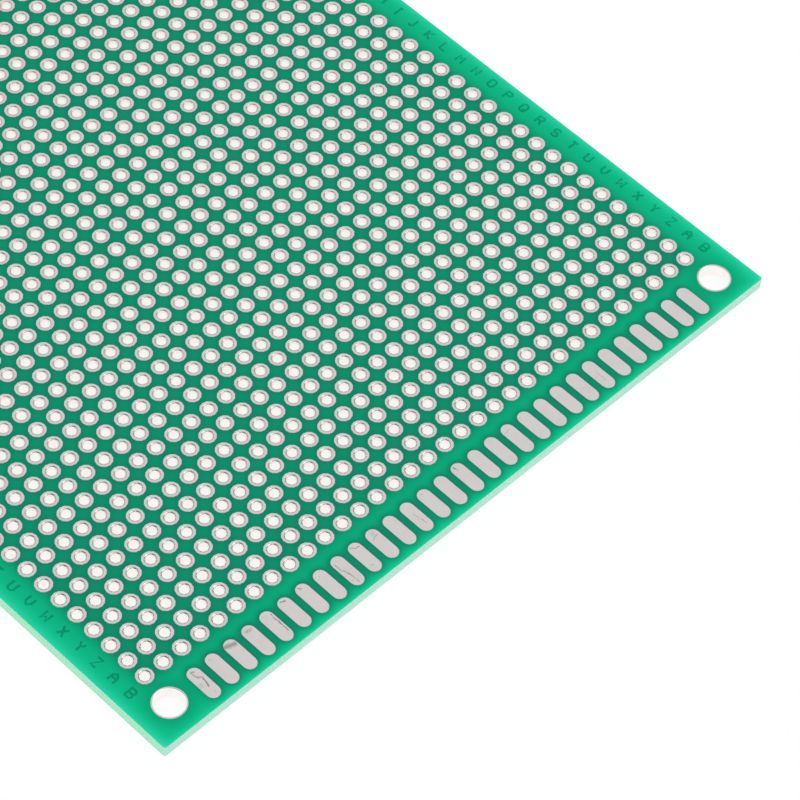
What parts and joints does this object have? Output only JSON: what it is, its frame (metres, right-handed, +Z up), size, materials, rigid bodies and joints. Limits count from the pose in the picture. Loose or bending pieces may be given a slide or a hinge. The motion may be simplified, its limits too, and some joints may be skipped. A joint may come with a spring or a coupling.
{
  "type": "bare circuit board",
  "caption": "Flat green prototyping circuit board with a square grid of plated through holes, oblong end pads and corner screw holes.",
  "frame": {"origin": "middle of the underside, on the plane of the lower pads", "axes": "+X along the length, +Y across the width, +Z up out of the lettered face"},
  "size_m": [0.15, 0.09, 0.0016],
  "materials": {
    "masked_laminate": "green solder mask on glass-epoxy laminate, satin",
    "tinned_copper": "matt tinned copper"
  },
  "bodies": {
    "root": {"laminate": "masked_laminate", "plated_mounting_holes": "tinned_copper", "plated_holes_1": "tinned_copper", "plated_holes_2": "tinned_copper", "plated_holes_3": "tinned_copper", "plated_holes_4": "tinned_copper", "plated_holes_5": "tinned_copper", "plated_holes_6": "tinned_copper", "plated_holes_7": "tinned_copper", "plated_holes_8": "tinned_copper", "plated_holes_9": "tinned_copper", "plated_holes_10": "tinned_copper", "plated_holes_11": "tinned_copper", "plated_holes_12": "tinned_copper", "plated_holes_13": "tinned_copper", "plated_holes_14": "tinned_copper", "plated_holes_15": "tinned_copper", "plated_holes_16": "tinned_copper", "plated_holes_17": "tinned_copper", "plated_holes_18": "tinned_copper", "plated_holes_19": "tinned_copper", "plated_holes_20": "tinned_copper", "plated_holes_21": "tinned_copper", "plated_holes_22": "tinned_copper", "plated_holes_23": "tinned_copper", "plated_holes_24": "tinned_copper", "plated_holes_25": "tinned_copper", "plated_holes_26": "tinned_copper", "plated_holes_27": "tinned_copper", "plated_holes_28": "tinned_copper", "plated_holes_29": "tinned_copper", "plated_holes_30": "tinned_copper", "plated_holes_31": "tinned_copper", "plated_holes_32": "tinned_copper", "plated_holes_33": "tinned_copper", "oblong_pads_left_top": "tinned_copper", "oblong_pads_left_bottom": "tinned_copper", "oblong_pads_right_top": "tinned_copper", "oblong_pads_right_bottom": "tinned_copper"}
  },
  "joints": []
}
